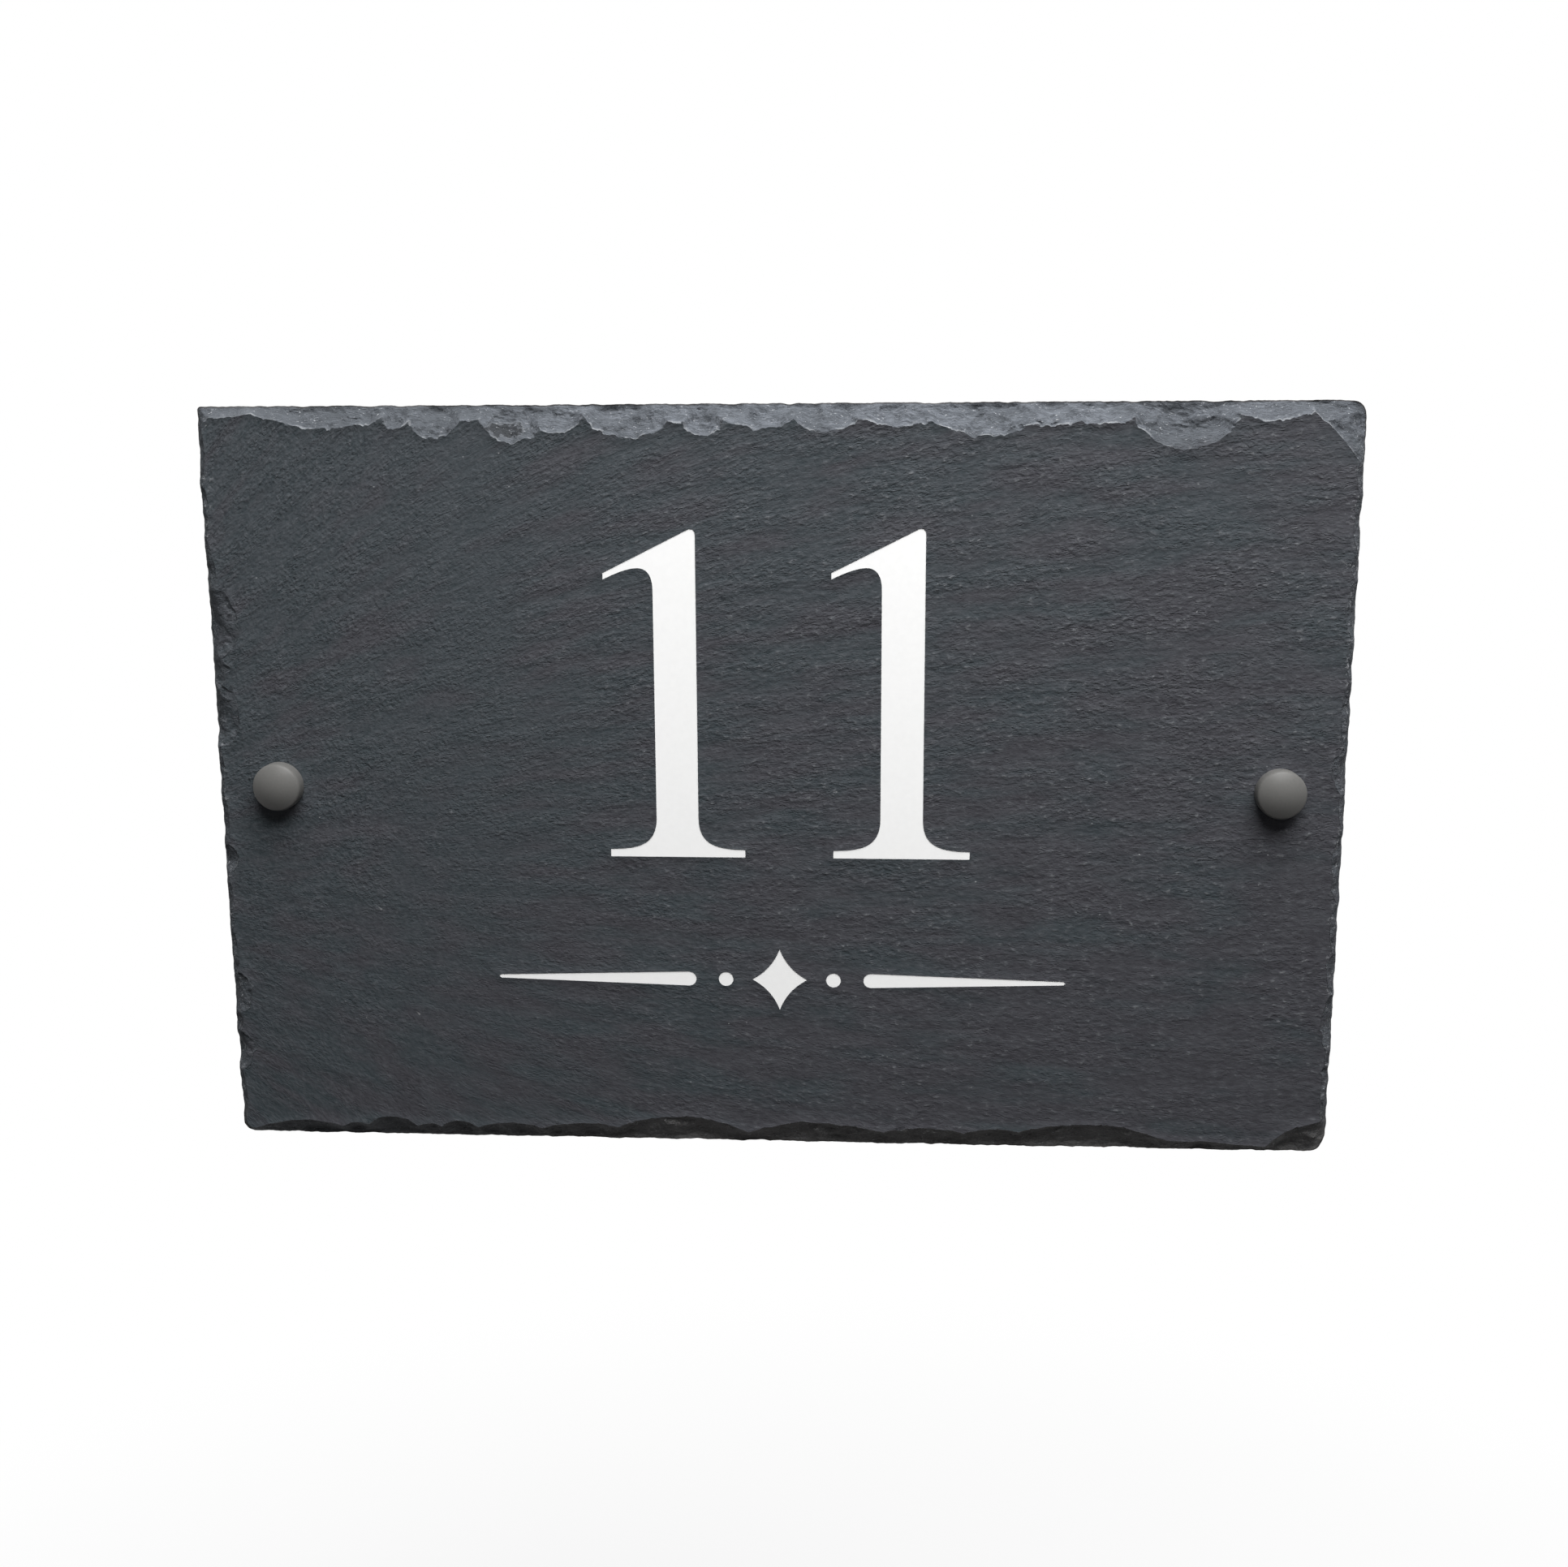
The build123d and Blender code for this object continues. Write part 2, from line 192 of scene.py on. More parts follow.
def room_to_stray(points):
    """How freely the line where the scars begin may stray at these points, from 0 to 1."""
    low_down = points[:, 1] < slate_low.z + FOOT_RISE
    return np.clip(edge_gap(points) / BROW_ROOM, 0.15, 1) * np.where(low_down, FOOT_SHARE, 1)


def warped(points, reach, size, seed):
    """The points moved about by smooth noise in waves of this size."""
    shift = np.array([noise.noise_vector((x / size, z / size, seed))[:2] for x, z in points])
    return points + shift * (reach * room_to_stray(points))[:, None]


def bitten(loop, pitch, length, depth, seed):
    """The loop with skewed bites taken inwards, each up to about this long and deep."""
    random = np.random.default_rng(seed)
    along = np.append(0, np.hypot(*np.diff(loop, axis=0, append=loop[:1]).T).cumsum())
    taken = np.zeros(len(loop))
    for start in np.arange(0, along[-1] - 2 * length, pitch):
        start = start + random.uniform(0, pitch)
        long = length * random.uniform(0.35, 1.3)
        deep = depth * random.random() ** 1.5
        peak = random.uniform(0.15, 0.85)
        place = (along[:-1] - start) / long
        arch = np.minimum(place / peak, (1 - place) / (1 - peak)).clip(0)
        taken = np.maximum(taken, deep * arch)
    return loop + inward_of(loop) * (taken * room_to_stray(loop))[:, None]


def lattice(step, row_step, seed):
    """Points in a jittered triangular pattern over the whole slab."""
    random = np.random.default_rng(seed)
    across = np.arange(slate_low.x, slate_high.x, step)
    up = np.arange(slate_low.z, slate_high.z, row_step)
    x, z = np.meshgrid(across, up)
    x = x + (np.arange(len(up)) % 2)[:, None] * step / 2
    points = np.column_stack([x.ravel(), z.ravel()])
    return points + random.uniform(-0.22, 0.22, points.shape) * (step, row_step)


def triangulate(loops, scattered):
    """Triangles over the loops and the scattered points, with the loops that each one lies in."""
    points = np.concatenate(loops + [scattered])
    starts = np.cumsum([0] + [len(loop) for loop in loops])
    rings = [list(range(a, b)) for a, b in zip(starts, starts[1:])]
    made = geometry.delaunay_2d_cdt([Vector(p) for p in points], [], rings, 1, 1e-6)
    flat, triangles, origins, regions = made[0], made[2], made[3], made[5]
    place = {original: index for index, group in enumerate(origins) for original in group}
    rings = [[place[index] for index in ring] for ring in rings]
    return np.array([tuple(p) for p in flat]), triangles, rings, regions


slate_solid = merged_copy(slate_node)
front_loops = flat_loops(slate_solid, slate_low.y, -1)
outline = evenly(flat_loops(slate_solid, slate_high.y, 1)[0], SCAR_STEP)
land_y = max(v.co.y / MM for v in slate_solid.verts if v.co.y / MM < slate_high.y - 0.1)
front_depths = {round(f.calc_center_median().y / MM, 3) for f in slate_solid.faces if f.normal.y < -0.999}
pocket_y = max(front_depths)
slate_solid.free()

HOLE_SPAN = 6.0         # of the screw holes, which are told from the engraving by it
brow = evenly(front_loops[0], SCAR_STEP)
hole_loops = [evenly(loop, HOLE_STEP) for loop in front_loops[1:]
              if abs(np.ptp(loop[:, 0]) - HOLE_SPAN) < 0.1]
pocket_loops = [evenly(loop, POCKET_STEP) for loop in front_loops[1:]
                if abs(np.ptp(loop[:, 0]) - HOLE_SPAN) >= 0.1]

outline_inward = inward_of(outline)
broken_in = OUTLINE_WANDER * np.abs(wander(outline, OUTLINE_WAVE, SLATE_SEED))
outline = outline + outline_inward * broken_in[:, None]
noise.seed_set(SLATE_SEED)
for index, (reach, size) in enumerate(BROW_WARPS):
    brow = warped(brow, reach, size, SLATE_SEED + 0.37 * index)
for index, (pitch, length, depth) in enumerate(BROW_BITES):
    brow = bitten(evenly(brow, BITE_STEP), pitch, length, depth, SLATE_SEED + 20 + index)
brow = evenly(kept_inside(brow, outline, BROW_MARGIN), SCAR_STEP)

scar_points = lattice(SCAR_STEP, SCAR_STEP * sqrt(0.75), SLATE_SEED + 2)
scar_points = scar_points[edge_gap(scar_points) < edge_gap(brow).max()]
scar_points = scar_points[depth_in(scar_points, outline) > SCAR_STEP / 2]
scar_points = scar_points[depth_in(scar_points, brow) < -SCAR_STEP / 2]

face_points = lattice(FACE_STEP, FACE_ROWS, SLATE_SEED + 3)
face_points = face_points[depth_in(face_points, brow) > FACE_ROWS / 2]
for loop in pocket_loops + hole_loops:
    near_low, near_high = loop.min(axis=0) - FACE_ROWS, loop.max(axis=0) + FACE_ROWS
    near = ((face_points > near_low) & (face_points < near_high)).all(axis=1)
    taken = depth_in(face_points[near], loop) > -FACE_ROWS / 2
    face_points = np.delete(face_points, np.flatnonzero(near)[taken], axis=0)

flat, triangles, rings, regions = triangulate(
    [outline, brow] + pocket_loops + hole_loops, np.concatenate([scar_points, face_points]))
first_hole = 2 + len(pocket_loops)

# The blank: every front point at the depth of the face, its pockets, its edge strip and its back
corners = [(x, slate_low.y, z) for x, z in flat]
from_outline, past_brow = depth_in(flat, outline).clip(0), -depth_in(flat, brow)
share = from_outline / (from_outline + past_brow.clip(0)).clip(1e-6)
share[rings[0]] = 0
share[rings[1]] = 1
past_brow[rings[1]] = 0

calm = np.full(len(flat), CALM_REACH)
for loop in pocket_loops:
    calm = np.minimum(calm, -depth_in(flat, loop, 0.4))
for loop in hole_loops:
    calm = np.minimum(calm, np.hypot(*(flat - loop.mean(axis=0)).T) - CAP_REACH)
calm = np.clip(calm / CALM_REACH, 0, 1)

faces = []
floor_of = {}
for triangle, region in zip(triangles, regions):
    deepest = max(region)
    if deepest >= first_hole:
        continue
    if deepest >= 2:
        for index in triangle:
            if index not in floor_of:
                floor_of[index] = len(corners)
                x, z = flat[index]
                corners.append((x, pocket_y, z))
        faces.append([floor_of[index] for index in triangle])
    else:
        faces.append(list(triangle))


def strip(one, other):
    """Quads between two rings of as many points."""
    count = len(one)
    for k in range(count):
        faces.append([one[k], one[(k + 1) % count], other[(k + 1) % count], other[k]])


for ring in rings[2:first_hole]:
    strip(ring, [floor_of[index] for index in ring])

back_points = lattice(BACK_STEP, BACK_STEP * sqrt(0.75), SLATE_SEED + 4)
back_points = back_points[depth_in(back_points, outline) > SCAR_STEP]
for loop in hole_loops:
    back_points = back_points[np.hypot(*(back_points - loop.mean(axis=0)).T) > HOLE_SPAN / 2 + SCAR_STEP]
back_flat, back_triangles, back_rings, back_regions = triangulate([outline] + hole_loops, back_points)
back_start = len(corners)
corners += [(x, slate_high.y, z) for x, z in back_flat]
faces += [[back_start + index for index in triangle]
          for triangle, region in zip(back_triangles, back_regions) if max(region) == 0]
back_rings = [[back_start + index for index in ring] for ring in back_rings]

land_height = np.zeros(len(corners))
land_height[rings[0]] = 1
ring_above = rings[0]
land_rings = []
for row in range(1, LAND_ROWS):
    ring = list(range(len(corners), len(corners) + len(outline)))
    corners += [(x, slate_high.y, z) for x, z in outline]
    land_height = np.append(land_height, np.full(len(outline), 1 - row / LAND_ROWS))
    strip(ring_above, ring)
    land_rings.append(ring)
    ring_above = ring
strip(ring_above, back_rings[0])
for front_ring, back_ring in zip(rings[first_hole:], back_rings[1:]):
    strip(front_ring, back_ring)

count = len(corners)
attributes = {
    "share": np.append(share, np.zeros(count - len(share))),
    "past_brow": np.append(past_brow, np.full(count - len(past_brow), FAR_OFF)),
    "from_edge": np.append(from_outline, np.full(count - len(from_outline), FAR_OFF)),
    "calm": np.append(calm, np.zeros(count - len(calm))),
    "land": land_height,
    "front": np.append(np.ones(len(flat)), np.zeros(count - len(flat))),
    "fixed": np.zeros(count),
}
attributes["fixed"][list(floor_of.values())] = 1
attributes["past_brow"][back_start:back_start + len(back_flat)] = -FAR_OFF
attributes["past_brow"][back_rings[0]] = FAR_OFF
for ring in [rings[0]] + land_rings:
    attributes["from_edge"][ring] = 0
inward = np.zeros((count, 3))
for ring in land_rings:
    inward[ring] = np.column_stack([outline_inward[:, 0], np.zeros(len(outline)), outline_inward[:, 1]])

slate_mesh = bpy.data.meshes.new("slate_slab")
slate_mesh.from_pydata([(x * MM, y * MM, z * MM) for x, y, z in corners], [], faces)
for name, values in attributes.items():
    slate_mesh.attributes.new(name, "FLOAT", "POINT").data.foreach_set("value", values)
slate_mesh.attributes.new("inward", "FLOAT_VECTOR", "POINT").data.foreach_set("vector", inward.ravel())
shell = bmesh.new()
shell.from_mesh(slate_mesh)
bmesh.ops.recalc_face_normals(shell, faces=shell.faces)
shell.to_mesh(slate_mesh)
shell.free()


class Wire:
    """A socket of a node tree. Arithmetic on wires and numbers adds Math nodes to that tree."""

    def __init__(self, socket):
        self.socket = socket

    @staticmethod
    def node(tree, kind, settings=(), inputs=()):
        """A new node with its settings, then the values or wires of its inputs. Gives its first output."""
        made = tree.nodes.new(kind)
        for name, value in dict(settings).items():
            setattr(made, name, value)
        for name, value in dict(inputs).items():
            named = [s for s in made.inputs if s.name == name and s.enabled]
            socket = made.inputs[name] if isinstance(name, int) else named[0]
            if isinstance(value, Wire):
                tree.links.new(value.socket, socket)
            else:
                socket.default_value = value
        return Wire(next((s for s in made.outputs if s.enabled), None))

    def __getitem__(self, name):
        return Wire(next(s for s in self.socket.node.outputs if s.name == name and s.enabled))

    def math(self, operation, *others):
        """A Math node whose first term is this socket."""
        terms = enumerate((self, *others))
        return Wire.node(self.socket.id_data, "ShaderNodeMath", {"operation": operation}, terms)

    def __add__(self, other):
        return self.math("ADD", other)

    def __sub__(self, other):
        return self.math("SUBTRACT", other)

    def __rsub__(self, other):
        return self.math("MULTIPLY_ADD", -1, other)

    def __mul__(self, other):
        return self.math("MULTIPLY", other)

    def __truediv__(self, other):
        return self.math("DIVIDE", other)

    def __pow__(self, other):
        return self.math("POWER", other)

    __radd__ = __add__
    __rmul__ = __mul__

    def ramp(self, low, high):
        """Rises smoothly from 0 to 1 as this goes from low to high."""
        settings = {"interpolation_type": "SMOOTHSTEP"}
        inputs = {"Value": self, "From Min": low, "From Max": high}
        return Wire.node(self.socket.id_data, "ShaderNodeMapRange", settings, inputs)


def vector(x, y, z):
    """A vector of three parts, of which the first is a wire."""
    return Wire.node(x.socket.id_data, "ShaderNodeCombineXYZ", (), {"X": x, "Y": y, "Z": z})


def parts(wire):
    """The three parts of a vector, in millimetres."""
    split = Wire.node(wire.socket.id_data, "ShaderNodeSeparateXYZ", (), {0: wire})
    return [split[axis] * (1 / MM) for axis in "XYZ"]


def cloud(place, detail=2.0, roughness=0.5):
    """Soft noise from 0 to 1 about unit size at a place."""
    inputs = {"Vector": place, "Scale": 1.0, "Detail": detail, "Roughness": roughness}
    return Wire.node(place.socket.id_data, "ShaderNodeTexNoise", {"noise_dimensions": "3D"}, inputs)


def cells(place):
    """Random cells about unit size, from the first two parts of a place."""
    inputs = {"Vector": place, "Scale": 1.0}
    return Wire.node(place.socket.id_data, "ShaderNodeTexVoronoi", {"voronoi_dimensions": "2D"}, inputs)


FAN_Z = -25.0           # the grain spreads from the left end of the slab about this height
FAN_SPREAD = 1.05
FAN_REACH = 100.0
FAN_CROWDING = 2.0      # the grain would be about this much finer at that end if nothing made up for it
FAN_SHORTENING = 1.2    # its streaks are shorter there by this share


def streaks(x, z, length, thickness, level, detail=2.0, roughness=0.5):
    """Noise from 0 to 1 in streaks of this size along the grain, which fans out from the left end."""
    crowding = ((slate_low.x - x) * (1 / FAN_REACH)).math("EXPONENT")
    across = (z - FAN_Z) * (crowding * FAN_SPREAD).math("EXPONENT") * (1 / thickness)
    along = (x - crowding * (FAN_SHORTENING * FAN_REACH)) * (1 / length)
    across = across + (cloud(vector(x * (1 / 5), level, z * (1 / 5)), 1.0) - 0.5) * (0.9 / thickness)
    plain = cloud(vector(along, level, across), detail, roughness)
    crowded = cloud(vector(along, level + 50, across * (1 / FAN_CROWDING)), detail, roughness)
    return plain + (crowded - plain) * crowding.ramp(0.25, 0.75)


def geometry_tree(name, sizes):
    """An empty Geometry Nodes tree with a named input for each size. Gives the tree and its inputs."""
    tree = bpy.data.node_groups.new(name, "GeometryNodeTree")
    tree.interface.new_socket("Geometry", in_out="INPUT", socket_type="NodeSocketGeometry")
    tree.interface.new_socket("Geometry", in_out="OUTPUT", socket_type="NodeSocketGeometry")
    for size, value in sizes.items():
        socket = tree.interface.new_socket(size, in_out="INPUT", socket_type="NodeSocketFloat")
        socket.default_value = value
    return tree, Wire.node(tree, "NodeGroupInput")


def grown(piece, tree, sizes):
    """The plain mesh that a Geometry Nodes tree with these sizes makes of a piece."""
    modifier = piece.modifiers.new(tree.name, "NODES")
    modifier.node_group = tree
    for item in tree.interface.items_tree:
        if item.in_out == "INPUT" and item.name in sizes:
            modifier[item.identifier] = float(sizes[item.name])
    bpy.context.view_layer.update()
    evaluated = piece.evaluated_get(bpy.context.evaluated_depsgraph_get())
    mesh = bpy.data.meshes.new_from_object(evaluated)
    piece.modifiers.remove(modifier)
    return mesh


SCOOP_SIZE = 6.5        # width of the bowls that a hammer blow leaves in the scars
SCOOP_LEVEL = 20.0


def scoop_cell(x, z, size, level):
    """Cells of about this size with bent borders, each for one bowl in the scars."""
    bend_x = cloud(vector(x * (1 / size), level, z * (1 / size)), 2.0) * 1.1
    bend_z = cloud(vector(x * (1 / size), level + 7, z * (1 / size)), 2.0) * 1.1
    return cells(vector(x * (0.75 / size) + bend_x, z * (1 / size) + bend_z, 0.0))


LEAVES = 7.0            # the face breaks along about this many thin leaves
LEAF_RELIEF = 0.18      # height of each, in millimetres
COARSE_RELIEF = 0.25
FINE_RELIEF = 0.40
SHEET = 0.45            # thickness of the layers that show on edge in the scars
SHEET_RELIEF = 0.08
ISLAND_X, ISLAND_Z = -68.3, 93.5    # a dark patch with a pale ring, in the scars of the top edge
ISLAND_W, ISLAND_H = 4.5, 1.8
SCUFFS = ((-106.2, -33.8), (-97.0, -63.4))  # two short scrapes, each deepest at this end
SCUFF_LENGTH, SCUFF_WIDTH = 1.8, 0.3
SCUFF_ANGLE = radians(-40)

# Colours of the face, of its scars, of what is crushed, broken off or scraped, and of painted glints and
# painted fill light
FACE_TEAL, FACE_UMBER = (0.039, 0.048, 0.0535, 1), (0.0455, 0.045, 0.0515, 1)
FACE_PALE, FACE_PAINTED_GLINT = (0.097, 0.102, 0.1125, 1), (0.20, 0.207, 0.217, 1)
SCAR_DARK, SCAR_PALE = (0.074, 0.081, 0.092, 1), (0.134, 0.145, 0.164, 1)
SCAR_BOWL, SCAR_GRIT = (0.058, 0.064, 0.071, 1), (0.045, 0.049, 0.055, 1)
SCAR_LEFT, SCAR_RIGHT = (0.060, 0.066, 0.073, 1), (0.050, 0.054, 0.060, 1)
SCAR_FOOT_PAINTED_FILL, SCAR_SIDES = (0.155, 0.150, 0.146, 1), (0.068, 0.074, 0.082, 1)
ISLAND_DARK, ISLAND_RING = (0.028, 0.030, 0.033, 1), (0.15, 0.158, 0.17, 1)
SHEET_DARK, OUTER_BROWN = (0.05, 0.054, 0.06, 1), (0.034, 0.029, 0.026, 1)
RIM_PALE, CRUSHED_PALE = (0.22, 0.23, 0.245, 1), (0.30, 0.309, 0.325, 1)
FLECK_PALE, SPECK_PALE = (0.40, 0.41, 0.43, 1), (0.42, 0.43, 0.44, 1)
SCUFF_PALE = (0.24, 0.243, 0.247, 1)


def stepped_off(level, tread):
    """How far a rising level lies above or below whole steps, whose treads take this share of each."""
    whole = level.math("FLOOR")
    part = level - whole
    return part.ramp(tread, 1.0) - part


def slate_material():
    """Dark blue-grey slate: fine streaks along the grain, soft patches, paler scars with crushed rims, and
    painted light on face and foot.
    """
    material = bpy.data.materials.new("riven_slate")
    material.use_nodes = True
    tree = material.node_tree
    tree.nodes.clear()

    def node(kind, settings=(), inputs=()):
        return Wire.node(tree, kind, settings, inputs)

    def blend(amount, one, other):
        return node("ShaderNodeMix", {"data_type": "RGBA"}, {"Factor": amount, "A": one, "B": other})

    def noise_of(size, level, detail=2.0, roughness=0.5):
        place = vector(x * (1 / size), below * (2.5 / size) + level, z * (1 / size))
        return cloud(place, detail, roughness)

    def grain_of(length, thickness, level, detail=2.0, roughness=0.5):
        return streaks(x, z, length, thickness, below * (1.5 / thickness) + level, detail, roughness)

    x, y, z = parts(node("ShaderNodeTexCoord")["Object"])
    below = (y - slate_low.y - 0.6).math("MAXIMUM", 0.0)
    past_brow = node("ShaderNodeAttribute", {"attribute_name": "past_brow"})["Fac"]
    from_edge = node("ShaderNodeAttribute", {"attribute_name": "from_edge"})["Fac"]
    scar = past_brow.ramp(-0.04, 0.1)
    at_sides = 1 - z.math("ABSOLUTE").ramp(slate_high.z - 14, slate_high.z - 6)

    # The face: short streaks in denser and calmer bands, over patches that lean to teal or to umber, with
    # painted light
    strength = grain_of(30.0, 9.0, 1.0).ramp(0.32, 0.68)
    swell = grain_of(14.0, 5.0, 16.0)
    coarse = grain_of(7.0, 1.8, 2.0, 2.0, 0.55)
    fine = grain_of(2.6, 1.2, 3.0)
    crumbs = noise_of(0.9, 13.0, 2.0) - 0.5
    grain = fine + crumbs * (0.4 + (1 - x.ramp(-110, 20)) * 0.3) * z.ramp(-130, 0)
    leaves = stepped_off(coarse * LEAVES, 0.6) * noise_of(2.4, 12.0, 2.0).ramp(0.45, 0.6)
    patch = (grain_of(40.0, 10.0, 4.0, 3.0) + x * 0.0005 - z * 0.0006).ramp(0.38, 0.62)
    face = blend(patch, FACE_TEAL, FACE_UMBER)
    tint_and_painted_top_light = (swell - 0.5) * 0.5 + (coarse - 0.5) * 0.5 + (grain - 0.5) * 0.8
    # Painted light: the face is also painted paler towards the top, as though lit from above
    tint_and_painted_top_light = tint_and_painted_top_light + z.ramp(-130, 100) * 0.13 + 0.15
    face = blend(tint_and_painted_top_light, face, FACE_PALE)
    # Painted glints: a pale colour on the grain's crests stands in for highlights, stronger towards the
    # right
    painted_glint = (0.1 + strength * 0.5) * x.ramp(-200, 60)
    face = blend(grain.ramp(0.60, 0.78) * painted_glint, face, FACE_PAINTED_GLINT)
    face_height = coarse * COARSE_RELIEF + leaves * LEAF_RELIEF + grain * FINE_RELIEF
    face_height = face_height * (0.44 + strength * 0.62) * (0.6 + z.ramp(-90, 30) * 0.4)

    # The scars: thin layers seen on edge, painted fill light along the foot, crushed pale rims along the
    # face, flecks, and a brown outer line
    layers = cloud(vector(x * (1 / 3), y * (1 / 0.6), z * (1 / 2)), 3.0, 0.6)
    grit = cloud(vector(x * (1 / 1.2), y * (1 / 0.6), z * (1 / 0.7)), 4.0, 0.7)
    broken = blend(layers.ramp(0.3, 0.7), SCAR_DARK, SCAR_PALE)
    tone = node("ShaderNodeSeparateXYZ", (), {0: scoop_cell(x, z, SCOOP_SIZE, SCOOP_LEVEL)["Color"]})
    dulled = tone["Y"] * 0.55 * noise_of(9.0, 5.0, 3.0).ramp(0.35, 0.65)
    broken = blend(dulled, broken, SCAR_BOWL)
    broken = blend((1 - x.ramp(-120, -20)) * 0.55, broken, SCAR_LEFT)
    broken = blend(x.ramp(80, 100) * z.ramp(60, 80) * 0.25, broken, SCAR_RIGHT)
    # Painted fill light: the scars along the foot face down into shade and are painted paler, more so
    # towards the right
    painted_fill_at_foot = (1 - z.ramp(-90, -70)) * (0.25 + x.ramp(-120, -20) * 0.55)
    broken = blend(painted_fill_at_foot, broken, SCAR_FOOT_PAINTED_FILL)
    broken = blend(at_sides * 0.85, broken, SCAR_SIDES)
    broken = blend(grit.ramp(0.5, 0.35) * 0.4, broken, SCAR_GRIT)
    island = ((x - ISLAND_X) * (1 / ISLAND_W)) ** 2 + ((z - ISLAND_Z) * (1 / ISLAND_H)) ** 2
    island = island + (noise_of(2.2, 18.0, 3.0, 0.6) - 0.5) * 5
    broken = blend((1 - island.ramp(1.0, 1.8)) * 0.4, broken, ISLAND_RING)
    broken = blend((1 - island.ramp(0.6, 1.1)) * 0.9, broken, ISLAND_DARK)
    rim_width = noise_of(3.5, 6.0, 2.0).ramp(0.3, 0.75) * 0.8 + 0.12
    rim = (1 - (past_brow / rim_width).ramp(0.4, 1.0)) * past_brow.ramp(-0.15, 0.05)
    rim = rim * noise_of(4.0, 7.0, 3.0, 0.6).ramp(0.46, 0.60)
    broken = blend(rim * (0.8 - at_sides * 0.5), broken, RIM_PALE)
    fleck = cloud(vector(x * (1 / 1.0), y * (1 / 0.5), z * (1 / 0.5)), 3.0, 0.6).ramp(0.63, 0.70)
    fleck = fleck * noise_of(5.0, 8.0, 2.0).ramp(0.36, 0.52)
    broken = blend(fleck * 0.7, broken, FLECK_PALE)
    line_width = 0.15 + noise_of(6.0, 9.0, 3.0) * 0.5
    outer = 1 - (from_edge / line_width).ramp(0.6, 1.0)
    broken = blend(outer * 0.7, broken, OUTER_BROWN)
    sheets = stepped_off(y * (1 / SHEET) + noise_of(2.5, 14.0, 4.0, 0.6) * 3, 0.7)
    broken = blend(sheets.ramp(-0.3, -0.65) * 0.25, broken, SHEET_DARK)
    broken_height = layers * 0.2 + grit * 0.45 + sheets * SHEET_RELIEF

    # Over both: crumbs crushed pale along the side edges, loose specks, and the two scrapes
    colour = blend(scar * (1 - at_sides * noise_of(3.0, 11.0, 2.0).ramp(0.4, 0.6) * 0.8), face, broken)
    crushed = noise_of(1.3, 15.0, 4.0, 0.7).ramp(0.53, 0.60) * noise_of(4.0, 10.0, 2.0).ramp(0.40, 0.52)
    crushed = crushed * at_sides * (1 - (from_edge + noise_of(7.0, 17.0) * 8).ramp(4.5, 8.0))
    colour = blend(crushed * 0.85, colour, CRUSHED_PALE)
    speck_cell = cells(vector(x * (1 / 11) + fine * 0.05, z * (1 / 8) + grit * 0.05, 0.0))
    speck = (1 - speck_cell.ramp(0.010, 0.025)) * speck_cell["Color"].ramp(0.78, 0.95)
    colour = blend(speck * 0.6, colour, SPECK_PALE)
    for end_x, end_z in SCUFFS:
        along = (x - end_x) * cos(SCUFF_ANGLE) + (z - end_z) * sin(SCUFF_ANGLE)
        aside = (z - end_z) * cos(SCUFF_ANGLE) - (x - end_x) * sin(SCUFF_ANGLE)
        widening = along.ramp(-SCUFF_LENGTH, 0.0) * (1 - along.ramp(0.0, SCUFF_WIDTH))
        scuff = 1 - (aside.math("ABSOLUTE") / (widening * SCUFF_WIDTH + 0.01)).ramp(0.5, 1.0)
        colour = blend(scuff * widening * 0.7, colour, SCUFF_PALE)

    height = face_height * (1 - scar * (1 - at_sides * 0.6)) + broken_height * scar + crushed * 0.15
    bump = node("ShaderNodeBump", (), {"Strength": 1.0, "Distance": MM, "Height": height})
    surface = node("ShaderNodeBsdfPrincipled", (), {
        "Base Color": colour, "Roughness": 0.6 + fine * 0.24, "Normal": bump, "Specular IOR Level": 0.06})
    node("ShaderNodeOutputMaterial", (), {"Surface": surface})
    return material


RELIEF_SIZES = {
    "Thickness": SLATE_T,
    "Edge Land": slate_high.y - land_y,
    "Half Height": slate_high.z,
    "Hollow": 1.25,
    "Side Bluntness": 2.6,
    "Rim Step": 0.55,
    "Layer": 0.55,
    "Terrace": 0.7,
    "Scoop Depth": 2.4,
    "Chip Depth": 0.6,
    "Riven Depth": 0.26,
    "Back Relief": 0.25,
    "Edge Break": 0.4,
}
relief, sizes = geometry_tree("riven_relief", RELIEF_SIZES)


def relief_node(kind, settings=(), inputs=()):
    """A node of the slab's relief."""
    return Wire.node(relief, kind, settings, inputs)


def attribute(name, data_type="FLOAT"):
    """What the blank's points hold under this name."""
    settings = {"data_type": data_type}
    return relief_node("GeometryNodeInputNamedAttribute", settings, {"Name": name})["Attribute"]


def scoops(x, z, size, level):
    """Shallow bowls of about this size that meet in sharp ridges: their height, from about -0.3 to 0.3."""
    cell = scoop_cell(x, z, size, level)
    pick = relief_node("ShaderNodeSeparateXYZ", (), {0: cell["Color"]})
    return (cell.math("MINIMUM", 0.75) ** 2 - 0.25) * (0.5 + pick["X"] * 0.5)


x, y, z = parts(relief_node("GeometryNodeInputPosition"))
share_wire, front, land = attribute("share"), attribute("front"), attribute("land")
past, from_edge = attribute("past_brow"), attribute("from_edge")
thickness, land_h = sizes["Thickness"], sizes["Edge Land"]
middle = (share_wire * (1 - share_wire) * 7).math("MINIMUM", 1.0)
at_sides = 1 - z.math("ABSOLUTE").ramp(sizes["Half Height"] - 15, sizes["Half Height"] - 6)

